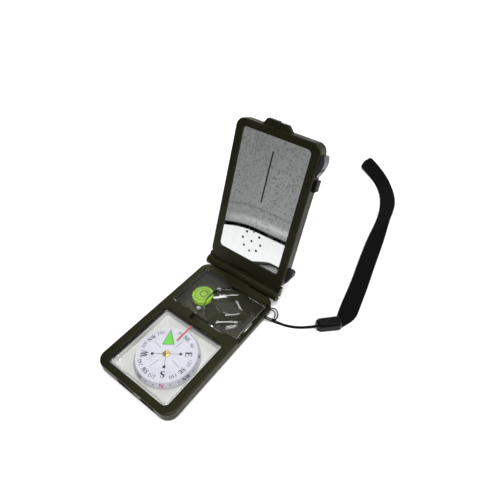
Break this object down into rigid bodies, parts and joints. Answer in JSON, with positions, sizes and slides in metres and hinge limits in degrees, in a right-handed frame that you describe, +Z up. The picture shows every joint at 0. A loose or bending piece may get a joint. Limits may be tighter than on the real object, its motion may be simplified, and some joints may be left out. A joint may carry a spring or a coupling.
{
  "type": "sighting compass",
  "caption": "Folding sighting compass: liquid capsule with floating card, sliding magnifier, bull's-eye level, mirror lid with torch and whistle, and a wrist lanyard.",
  "frame": {"origin": "centre of the flat underside of the base", "axes": "+X along the hinge towards the torch and lanyard side, +Y from the front edge to the hinge, +Z up; the lid stands open at 111 degrees"},
  "size_m": [0.1112, 0.3063, 0.1129],
  "materials": {
    "case_plastic": "moulded dark olive ABS, satin",
    "clear_plastic": "clear moulded acrylic, polished",
    "white_plastic": "off-white moulded plastic",
    "rubber_seal": "soft black seal",
    "brass_part": "turned brass",
    "steel_part": "bright steel",
    "dial_card": "printed white card",
    "magnet_steel": "plain dark magnet steel",
    "red_print": "red paint in a groove",
    "green_level": "fluorescent yellow-green liquid",
    "green_base": "fluorescent yellow-green plastic",
    "mirror_glass": "silvered mirror",
    "black_print": "black paint in a groove",
    "foam_pad": "thin black foam",
    "smoke_plastic": "smoked purple-grey acrylic",
    "black_plastic": "black moulded plastic, satin",
    "led_epoxy": "clear epoxy lamp body",
    "gauge_card": "printed gauge face",
    "tube_glass": "drawn glass tube",
    "red_spirit": "dyed spirit",
    "cord_fibre": "thin braided black cord",
    "webbing": "woven black webbing"
  },
  "bodies": {
    "base": {"base_case": "case_plastic", "base_bottom_cover": "case_plastic", "base_screws": "steel_part", "capsule_window": "clear_plastic", "lubber_line": "red_print", "capsule_filler_plug": "clear_plastic", "capsule_gasket": "rubber_seal", "capsule_floor": "white_plastic", "pivot_post": "steel_part", "level_vial": "clear_plastic", "level_liquid": "green_level", "level_base": "green_base", "well_screws": "steel_part", "hinge_pin": "steel_part", "lanyard_cord_1": "cord_fibre", "lanyard_cord_2": "cord_fibre", "cord_knot": "cord_fibre", "cord_slider": "black_plastic", "wrist_strap": "webbing"},
    "card": {"compass_card": "dial_card", "card_magnet": "magnet_steel", "card_jewel_cap": "brass_part"},
    "magnifier": {"magnifier_plate": "clear_plastic"},
    "lid": {"lid_frame": "case_plastic", "lid_back": "case_plastic", "lid_screws": "steel_part", "mirror": "mirror_glass", "sight_line": "black_print", "mirror_cushion": "foam_pad", "torch_lens": "smoke_plastic", "torch_led": "led_epoxy", "battery_cells": "steel_part", "battery_contacts": "brass_part", "battery_door": "case_plastic", "battery_door_screw": "steel_part", "whistle": "black_plastic", "hygrometer_window": "clear_plastic", "hygrometer_dial": "gauge_card", "hygrometer_coil": "brass_part", "thermometer_window": "clear_plastic", "thermometer_card": "gauge_card", "thermometer_tube": "tube_glass", "thermometer_spirit": "red_spirit"},
    "switch": {"torch_switch": "black_plastic"},
    "pointer": {"hygrometer_pointer": "red_print"}
  },
  "joints": [
    {"name": "lid_hinge", "type": "hinge", "parent": "base", "child": "lid", "pos_m": [0, 0.0545, 0.0105], "axis": [-1, 0, 0], "range_deg": [-111, 59]},
    {"name": "card_spin", "type": "hinge", "parent": "base", "child": "card", "pos_m": [0, -0.0217, 0.0065], "axis": [0, 0, 1], "continuous": true},
    {"name": "magnifier_slide", "type": "slide", "parent": "base", "child": "magnifier", "axis": [1, 0, 0], "range_m": [0, 0.036]},
    {"name": "switch_slide", "type": "slide", "parent": "lid", "child": "switch", "axis": [0, -0.3584, -0.9336], "range_m": [0, 0.0016]},
    {"name": "pointer_turn", "type": "hinge", "parent": "lid", "child": "pointer", "pos_m": [0, 0.07322, 0.03416], "axis": [0, 0.9336, -0.3584], "range_deg": [-120, 120], "stiffness_Nm_per_rad": 0.00001}
  ]
}
